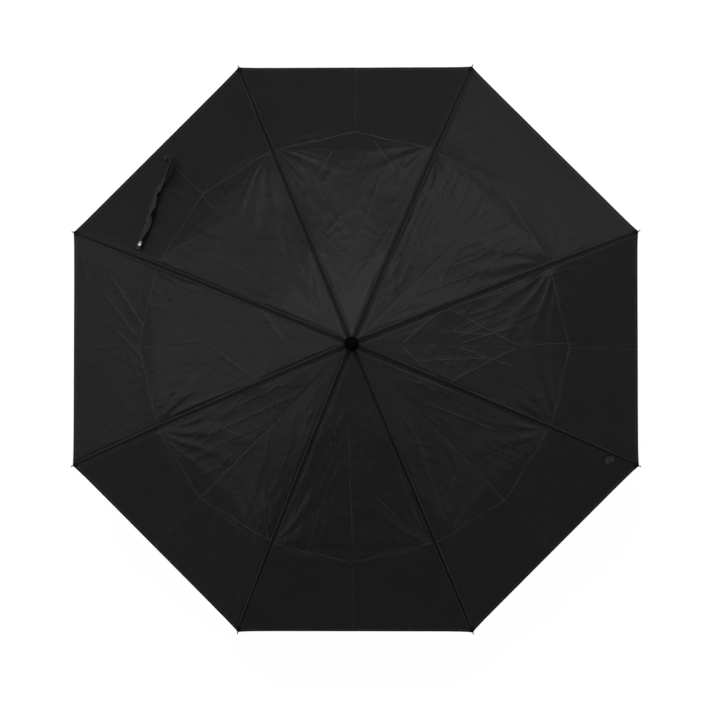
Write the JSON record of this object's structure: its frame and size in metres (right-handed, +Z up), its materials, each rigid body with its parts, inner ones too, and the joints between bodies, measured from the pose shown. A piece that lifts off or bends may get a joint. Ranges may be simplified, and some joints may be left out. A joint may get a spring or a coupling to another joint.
{
  "type": "folding umbrella",
  "caption": "Open folding umbrella: eight-panel fabric canopy on three-part hinged ribs, telescoping shaft, sliding runner and straight grip.",
  "frame": {"origin": "centre of the handle's base, on the shaft's axis", "axes": "+Z up the shaft from the handle to the ferrule; +X and +Y across the open canopy, each through the middle of a panel"},
  "size_m": [0.8888, 0.8888, 0.4978],
  "materials": {
    "canopy_fabric": "matt woven pongee",
    "rib_steel": "black paint on pressed steel channel",
    "wire_steel": "black enamel on steel wire and strip",
    "tube_steel": "drawn steel tube",
    "catch_steel": "spring steel",
    "frame_plastic": "moulded nylon",
    "ferrule_plastic": "satin moulded cap",
    "grip_rubber": "soft-touch coating",
    "cap_plastic": "moulded",
    "snap_metal": "nickel plate"
  },
  "bodies": {
    "handle": {"handle_grip": "grip_rubber", "handle_end_cap": "cap_plastic", "lower_tube": "tube_steel"},
    "middle_section": {"middle_tube": "tube_steel"},
    "upper_section": {"upper_tube": "tube_steel", "crown_notch": "frame_plastic", "ferrule": "ferrule_plastic", "canopy": "canopy_fabric"},
    "runner": {"runner": "frame_plastic"},
    "runner_catch": {"runner_catch": "catch_steel"},
    "top_rib_1": {"top_rib_1": "rib_steel"},
    "stretcher_1": {"stretcher_1": "rib_steel"},
    "middle_rib_1": {"middle_rib_1": "rib_steel"},
    "link_bar_1": {"link_bar_1": "wire_steel"},
    "outer_rib_1": {"outer_rib_1": "wire_steel"},
    "control_wire_1": {"control_wire_1": "wire_steel"},
    "top_rib_2": {"top_rib_2": "rib_steel"},
    "stretcher_2": {"stretcher_2": "rib_steel"},
    "middle_rib_2": {"middle_rib_2": "rib_steel"},
    "link_bar_2": {"link_bar_2": "wire_steel"},
    "outer_rib_2": {"outer_rib_2": "wire_steel"},
    "control_wire_2": {"control_wire_2": "wire_steel"},
    "top_rib_3": {"top_rib_3": "rib_steel"},
    "stretcher_3": {"stretcher_3": "rib_steel"},
    "middle_rib_3": {"middle_rib_3": "rib_steel"},
    "link_bar_3": {"link_bar_3": "wire_steel"},
    "outer_rib_3": {"outer_rib_3": "wire_steel"},
    "control_wire_3": {"control_wire_3": "wire_steel"},
    "top_rib_4": {"top_rib_4": "rib_steel"},
    "stretcher_4": {"stretcher_4": "rib_steel"},
    "middle_rib_4": {"middle_rib_4": "rib_steel"},
    "link_bar_4": {"link_bar_4": "wire_steel"},
    "outer_rib_4": {"outer_rib_4": "wire_steel", "closure_strap": "canopy_fabric", "snap_button": "snap_metal"},
    "control_wire_4": {"control_wire_4": "wire_steel"},
    "top_rib_5": {"top_rib_5": "rib_steel"},
    "stretcher_5": {"stretcher_5": "rib_steel"},
    "middle_rib_5": {"middle_rib_5": "rib_steel"},
    "link_bar_5": {"link_bar_5": "wire_steel"},
    "outer_rib_5": {"outer_rib_5": "wire_steel"},
    "control_wire_5": {"control_wire_5": "wire_steel"},
    "top_rib_6": {"top_rib_6": "rib_steel"},
    "stretcher_6": {"stretcher_6": "rib_steel"},
    "middle_rib_6": {"middle_rib_6": "rib_steel"},
    "link_bar_6": {"link_bar_6": "wire_steel"},
    "outer_rib_6": {"outer_rib_6": "wire_steel"},
    "control_wire_6": {"control_wire_6": "wire_steel"},
    "top_rib_7": {"top_rib_7": "rib_steel"},
    "stretcher_7": {"stretcher_7": "rib_steel"},
    "middle_rib_7": {"middle_rib_7": "rib_steel"},
    "link_bar_7": {"link_bar_7": "wire_steel"},
    "outer_rib_7": {"outer_rib_7": "wire_steel"},
    "control_wire_7": {"control_wire_7": "wire_steel"},
    "top_rib_8": {"top_rib_8": "rib_steel"},
    "stretcher_8": {"stretcher_8": "rib_steel"},
    "middle_rib_8": {"middle_rib_8": "rib_steel"},
    "link_bar_8": {"link_bar_8": "wire_steel"},
    "outer_rib_8": {"outer_rib_8": "wire_steel"},
    "control_wire_8": {"control_wire_8": "wire_steel"}
  },
  "joints": [
    {"name": "middle_tube_slide", "type": "slide", "parent": "handle", "child": "middle_section", "axis": [0, 0, -1], "range_m": [0, 0.1275]},
    {"name": "upper_tube_slide", "type": "slide", "parent": "middle_section", "child": "upper_section", "axis": [0, 0, -1], "range_m": [0, 0.1275]},
    {"name": "canopy_fold", "type": "hinge", "parent": "upper_section", "child": "top_rib_1", "pos_m": [0.0097, 0.00402, 0.462], "axis": [-0.3827, 0.9239, 0], "range_deg": [0, 78], "deforming": ["canopy", "closure_strap", "snap_button"]},
    {"name": "stretcher_1_fold", "type": "hinge", "parent": "top_rib_1", "child": "stretcher_1", "pos_m": [0.05465, 0.02264, 0.45043], "axis": [0.3827, -0.9239, 0], "range_deg": [0, 123.43]},
    {"name": "middle_rib_1_fold", "type": "hinge", "parent": "top_rib_1", "child": "middle_rib_1", "pos_m": [0.14318, 0.05931, 0.43466], "axis": [0.3827, -0.9239, 0], "range_deg": [0, 188.01]},
    {"name": "link_bar_1_fold", "type": "hinge", "parent": "middle_rib_1", "child": "link_bar_1", "pos_m": [0.13486, 0.05586, 0.43466], "axis": [-0.3827, 0.9239, 0], "range_deg": [0, 190.51]},
    {"name": "outer_rib_1_fold", "type": "hinge", "parent": "middle_rib_1", "child": "outer_rib_1", "pos_m": [0.30147, 0.12487, 0.36741], "axis": [-0.3827, 0.9239, 0], "range_deg": [0, 166.01]},
    {"name": "control_wire_1_fold", "type": "hinge", "parent": "outer_rib_1", "child": "control_wire_1", "pos_m": [0.30649, 0.12695, 0.35992], "axis": [0.3827, -0.9239, 0], "range_deg": [0, 166.34]},
    {"name": "top_rib_2_fold", "type": "hinge", "parent": "upper_section", "child": "top_rib_2", "pos_m": [0.00402, 0.0097, 0.462], "axis": [-0.9239, 0.3827, 0], "range_deg": [0, 78.01]},
    {"name": "stretcher_2_fold", "type": "hinge", "parent": "top_rib_2", "child": "stretcher_2", "pos_m": [0.02264, 0.05465, 0.45043], "axis": [0.9239, -0.3827, 0], "range_deg": [0, 123.43]},
    {"name": "middle_rib_2_fold", "type": "hinge", "parent": "top_rib_2", "child": "middle_rib_2", "pos_m": [0.05931, 0.14318, 0.43466], "axis": [0.9239, -0.3827, 0], "range_deg": [0, 188.01]},
    {"name": "link_bar_2_fold", "type": "hinge", "parent": "middle_rib_2", "child": "link_bar_2", "pos_m": [0.05586, 0.13486, 0.43466], "axis": [-0.9239, 0.3827, 0], "range_deg": [0, 190.51]},
    {"name": "outer_rib_2_fold", "type": "hinge", "parent": "middle_rib_2", "child": "outer_rib_2", "pos_m": [0.12487, 0.30147, 0.36741], "axis": [-0.9239, 0.3827, 0], "range_deg": [0, 166.01]},
    {"name": "control_wire_2_fold", "type": "hinge", "parent": "outer_rib_2", "child": "control_wire_2", "pos_m": [0.12695, 0.30649, 0.35992], "axis": [0.9239, -0.3827, 0], "range_deg": [0, 166.34]},
    {"name": "top_rib_3_fold", "type": "hinge", "parent": "upper_section", "child": "top_rib_3", "pos_m": [-0.00402, 0.0097, 0.462], "axis": [-0.9239, -0.3827, 0], "range_deg": [0, 78.01]},
    {"name": "stretcher_3_fold", "type": "hinge", "parent": "top_rib_3", "child": "stretcher_3", "pos_m": [-0.02264, 0.05465, 0.45043], "axis": [0.9239, 0.3827, 0], "range_deg": [0, 123.43]},
    {"name": "middle_rib_3_fold", "type": "hinge", "parent": "top_rib_3", "child": "middle_rib_3", "pos_m": [-0.05931, 0.14318, 0.43466], "axis": [0.9239, 0.3827, 0], "range_deg": [0, 188.01]},
    {"name": "link_bar_3_fold", "type": "hinge", "parent": "middle_rib_3", "child": "link_bar_3", "pos_m": [-0.05586, 0.13486, 0.43466], "axis": [-0.9239, -0.3827, 0], "range_deg": [0, 190.51]},
    {"name": "outer_rib_3_fold", "type": "hinge", "parent": "middle_rib_3", "child": "outer_rib_3", "pos_m": [-0.12487, 0.30147, 0.36741], "axis": [-0.9239, -0.3827, 0], "range_deg": [0, 166.01]},
    {"name": "control_wire_3_fold", "type": "hinge", "parent": "outer_rib_3", "child": "control_wire_3", "pos_m": [-0.12695, 0.30649, 0.35992], "axis": [0.9239, 0.3827, 0], "range_deg": [0, 166.34]},
    {"name": "top_rib_4_fold", "type": "hinge", "parent": "upper_section", "child": "top_rib_4", "pos_m": [-0.0097, 0.00402, 0.462], "axis": [-0.3827, -0.9239, 0], "range_deg": [0, 78.01]},
    {"name": "stretcher_4_fold", "type": "hinge", "parent": "top_rib_4", "child": "stretcher_4", "pos_m": [-0.05465, 0.02264, 0.45043], "axis": [0.3827, 0.9239, 0], "range_deg": [0, 123.43]},
    {"name": "middle_rib_4_fold", "type": "hinge", "parent": "top_rib_4", "child": "middle_rib_4", "pos_m": [-0.14318, 0.05931, 0.43466], "axis": [0.3827, 0.9239, 0], "range_deg": [0, 188.01]},
    {"name": "link_bar_4_fold", "type": "hinge", "parent": "middle_rib_4", "child": "link_bar_4", "pos_m": [-0.13486, 0.05586, 0.43466], "axis": [-0.3827, -0.9239, 0], "range_deg": [0, 190.51]},
    {"name": "outer_rib_4_fold", "type": "hinge", "parent": "middle_rib_4", "child": "outer_rib_4", "pos_m": [-0.30147, 0.12487, 0.36741], "axis": [-0.3827, -0.9239, 0], "range_deg": [0, 166.01]},
    {"name": "control_wire_4_fold", "type": "hinge", "parent": "outer_rib_4", "child": "control_wire_4", "pos_m": [-0.30649, 0.12695, 0.35992], "axis": [0.3827, 0.9239, 0], "range_deg": [0, 166.34]},
    {"name": "top_rib_5_fold", "type": "hinge", "parent": "upper_section", "child": "top_rib_5", "pos_m": [-0.0097, -0.00402, 0.462], "axis": [0.3827, -0.9239, 0], "range_deg": [0, 78.01]},
    {"name": "stretcher_5_fold", "type": "hinge", "parent": "top_rib_5", "child": "stretcher_5", "pos_m": [-0.05465, -0.02264, 0.45043], "axis": [-0.3827, 0.9239, 0], "range_deg": [0, 123.43]},
    {"name": "middle_rib_5_fold", "type": "hinge", "parent": "top_rib_5", "child": "middle_rib_5", "pos_m": [-0.14318, -0.05931, 0.43466], "axis": [-0.3827, 0.9239, 0], "range_deg": [0, 188.01]},
    {"name": "link_bar_5_fold", "type": "hinge", "parent": "middle_rib_5", "child": "link_bar_5", "pos_m": [-0.13486, -0.05586, 0.43466], "axis": [0.3827, -0.9239, 0], "range_deg": [0, 190.51]},
    {"name": "outer_rib_5_fold", "type": "hinge", "parent": "middle_rib_5", "child": "outer_rib_5", "pos_m": [-0.30147, -0.12487, 0.36741], "axis": [0.3827, -0.9239, 0], "range_deg": [0, 166.01]},
    {"name": "control_wire_5_fold", "type": "hinge", "parent": "outer_rib_5", "child": "control_wire_5", "pos_m": [-0.30649, -0.12695, 0.35992], "axis": [-0.3827, 0.9239, 0], "range_deg": [0, 166.34]},
    {"name": "top_rib_6_fold", "type": "hinge", "parent": "upper_section", "child": "top_rib_6", "pos_m": [-0.00402, -0.0097, 0.462], "axis": [0.9239, -0.3827, 0], "range_deg": [0, 78.01]},
    {"name": "stretcher_6_fold", "type": "hinge", "parent": "top_rib_6", "child": "stretcher_6", "pos_m": [-0.02264, -0.05465, 0.45043], "axis": [-0.9239, 0.3827, 0], "range_deg": [0, 123.43]},
    {"name": "middle_rib_6_fold", "type": "hinge", "parent": "top_rib_6", "child": "middle_rib_6", "pos_m": [-0.05931, -0.14318, 0.43466], "axis": [-0.9239, 0.3827, 0], "range_deg": [0, 188.01]},
    {"name": "link_bar_6_fold", "type": "hinge", "parent": "middle_rib_6", "child": "link_bar_6", "pos_m": [-0.05586, -0.13486, 0.43466], "axis": [0.9239, -0.3827, 0], "range_deg": [0, 190.51]},
    {"name": "outer_rib_6_fold", "type": "hinge", "parent": "middle_rib_6", "child": "outer_rib_6", "pos_m": [-0.12487, -0.30147, 0.36741], "axis": [0.9239, -0.3827, 0], "range_deg": [0, 166.01]},
    {"name": "control_wire_6_fold", "type": "hinge", "parent": "outer_rib_6", "child": "control_wire_6", "pos_m": [-0.12695, -0.30649, 0.35992], "axis": [-0.9239, 0.3827, 0], "range_deg": [0, 166.34]},
    {"name": "top_rib_7_fold", "type": "hinge", "parent": "upper_section", "child": "top_rib_7", "pos_m": [0.00402, -0.0097, 0.462], "axis": [0.9239, 0.3827, 0], "range_deg": [0, 78.01]},
    {"name": "stretcher_7_fold", "type": "hinge", "parent": "top_rib_7", "child": "stretcher_7", "pos_m": [0.02264, -0.05465, 0.45043], "axis": [-0.9239, -0.3827, 0], "range_deg": [0, 123.43]},
    {"name": "middle_rib_7_fold", "type": "hinge", "parent": "top_rib_7", "child": "middle_rib_7", "pos_m": [0.05931, -0.14318, 0.43466], "axis": [-0.9239, -0.3827, 0], "range_deg": [0, 188.01]},
    {"name": "link_bar_7_fold", "type": "hinge", "parent": "middle_rib_7", "child": "link_bar_7", "pos_m": [0.05586, -0.13486, 0.43466], "axis": [0.9239, 0.3827, 0], "range_deg": [0, 190.51]},
    {"name": "outer_rib_7_fold", "type": "hinge", "parent": "middle_rib_7", "child": "outer_rib_7", "pos_m": [0.12487, -0.30147, 0.36741], "axis": [0.9239, 0.3827, 0], "range_deg": [0, 166.01]},
    {"name": "control_wire_7_fold", "type": "hinge", "parent": "outer_rib_7", "child": "control_wire_7", "pos_m": [0.12695, -0.30649, 0.35992], "axis": [-0.9239, -0.3827, 0], "range_deg": [0, 166.34]},
    {"name": "top_rib_8_fold", "type": "hinge", "parent": "upper_section", "child": "top_rib_8", "pos_m": [0.0097, -0.00402, 0.462], "axis": [0.3827, 0.9239, 0], "range_deg": [0, 78.01]},
    {"name": "stretcher_8_fold", "type": "hinge", "parent": "top_rib_8", "child": "stretcher_8", "pos_m": [0.05465, -0.02264, 0.45043], "axis": [-0.3827, -0.9239, 0], "range_deg": [0, 123.43]},
    {"name": "middle_rib_8_fold", "type": "hinge", "parent": "top_rib_8", "child": "middle_rib_8", "pos_m": [0.14318, -0.05931, 0.43466], "axis": [-0.3827, -0.9239, 0], "range_deg": [0, 188.01]},
    {"name": "link_bar_8_fold", "type": "hinge", "parent": "middle_rib_8", "child": "link_bar_8", "pos_m": [0.13486, -0.05586, 0.43466], "axis": [0.3827, 0.9239, 0], "range_deg": [0, 190.51]},
    {"name": "outer_rib_8_fold", "type": "hinge", "parent": "middle_rib_8", "child": "outer_rib_8", "pos_m": [0.30147, -0.12487, 0.36741], "axis": [0.3827, 0.9239, 0], "range_deg": [0, 166.01]},
    {"name": "control_wire_8_fold", "type": "hinge", "parent": "outer_rib_8", "child": "control_wire_8", "pos_m": [0.30649, -0.12695, 0.35992], "axis": [-0.3827, -0.9239, 0], "range_deg": [0, 166.34]},
    {"name": "runner_slide", "type": "slide", "parent": "upper_section", "child": "runner", "axis": [0, 0, -1], "range_m": [0, 0.05935]},
    {"name": "catch_press", "type": "slide", "parent": "upper_section", "child": "runner_catch", "axis": [-1, 0, 0], "range_m": [0, 0.0009], "stiffness_N_per_m": 600}
  ],
  "couplings": [
    {"joint": "stretcher_1_fold", "follows": "canopy_fold", "ratio": 1.5823},
    {"joint": "middle_rib_1_fold", "follows": "canopy_fold", "ratio": 2.4103},
    {"joint": "link_bar_1_fold", "follows": "canopy_fold", "ratio": 2.4423},
    {"joint": "outer_rib_1_fold", "follows": "canopy_fold", "ratio": 2.1282},
    {"joint": "control_wire_1_fold", "follows": "canopy_fold", "ratio": 2.1324},
    {"joint": "top_rib_2_fold", "follows": "canopy_fold", "ratio": 1},
    {"joint": "stretcher_2_fold", "follows": "canopy_fold", "ratio": 1.5823},
    {"joint": "middle_rib_2_fold", "follows": "canopy_fold", "ratio": 2.4103},
    {"joint": "link_bar_2_fold", "follows": "canopy_fold", "ratio": 2.4423},
    {"joint": "outer_rib_2_fold", "follows": "canopy_fold", "ratio": 2.1282},
    {"joint": "control_wire_2_fold", "follows": "canopy_fold", "ratio": 2.1324},
    {"joint": "top_rib_3_fold", "follows": "canopy_fold", "ratio": 1},
    {"joint": "stretcher_3_fold", "follows": "canopy_fold", "ratio": 1.5823},
    {"joint": "middle_rib_3_fold", "follows": "canopy_fold", "ratio": 2.4103},
    {"joint": "link_bar_3_fold", "follows": "canopy_fold", "ratio": 2.4423},
    {"joint": "outer_rib_3_fold", "follows": "canopy_fold", "ratio": 2.1282},
    {"joint": "control_wire_3_fold", "follows": "canopy_fold", "ratio": 2.1324},
    {"joint": "top_rib_4_fold", "follows": "canopy_fold", "ratio": 1},
    {"joint": "stretcher_4_fold", "follows": "canopy_fold", "ratio": 1.5823},
    {"joint": "middle_rib_4_fold", "follows": "canopy_fold", "ratio": 2.4103},
    {"joint": "link_bar_4_fold", "follows": "canopy_fold", "ratio": 2.4423},
    {"joint": "outer_rib_4_fold", "follows": "canopy_fold", "ratio": 2.1282},
    {"joint": "control_wire_4_fold", "follows": "canopy_fold", "ratio": 2.1324},
    {"joint": "top_rib_5_fold", "follows": "canopy_fold", "ratio": 1},
    {"joint": "stretcher_5_fold", "follows": "canopy_fold", "ratio": 1.5823},
    {"joint": "middle_rib_5_fold", "follows": "canopy_fold", "ratio": 2.4103},
    {"joint": "link_bar_5_fold", "follows": "canopy_fold", "ratio": 2.4423},
    {"joint": "outer_rib_5_fold", "follows": "canopy_fold", "ratio": 2.1282},
    {"joint": "control_wire_5_fold", "follows": "canopy_fold", "ratio": 2.1324},
    {"joint": "top_rib_6_fold", "follows": "canopy_fold", "ratio": 1},
    {"joint": "stretcher_6_fold", "follows": "canopy_fold", "ratio": 1.5823},
    {"joint": "middle_rib_6_fold", "follows": "canopy_fold", "ratio": 2.4103},
    {"joint": "link_bar_6_fold", "follows": "canopy_fold", "ratio": 2.4423},
    {"joint": "outer_rib_6_fold", "follows": "canopy_fold", "ratio": 2.1282},
    {"joint": "control_wire_6_fold", "follows": "canopy_fold", "ratio": 2.1324},
    {"joint": "top_rib_7_fold", "follows": "canopy_fold", "ratio": 1},
    {"joint": "stretcher_7_fold", "follows": "canopy_fold", "ratio": 1.5823},
    {"joint": "middle_rib_7_fold", "follows": "canopy_fold", "ratio": 2.4103},
    {"joint": "link_bar_7_fold", "follows": "canopy_fold", "ratio": 2.4423},
    {"joint": "outer_rib_7_fold", "follows": "canopy_fold", "ratio": 2.1282},
    {"joint": "control_wire_7_fold", "follows": "canopy_fold", "ratio": 2.1324},
    {"joint": "top_rib_8_fold", "follows": "canopy_fold", "ratio": 1},
    {"joint": "stretcher_8_fold", "follows": "canopy_fold", "ratio": 1.5823},
    {"joint": "middle_rib_8_fold", "follows": "canopy_fold", "ratio": 2.4103},
    {"joint": "link_bar_8_fold", "follows": "canopy_fold", "ratio": 2.4423},
    {"joint": "outer_rib_8_fold", "follows": "canopy_fold", "ratio": 2.1282},
    {"joint": "control_wire_8_fold", "follows": "canopy_fold", "ratio": 2.1324},
    {"joint": "runner_slide", "follows": "canopy_fold", "m_per_rad": 0.043557}
  ]
}
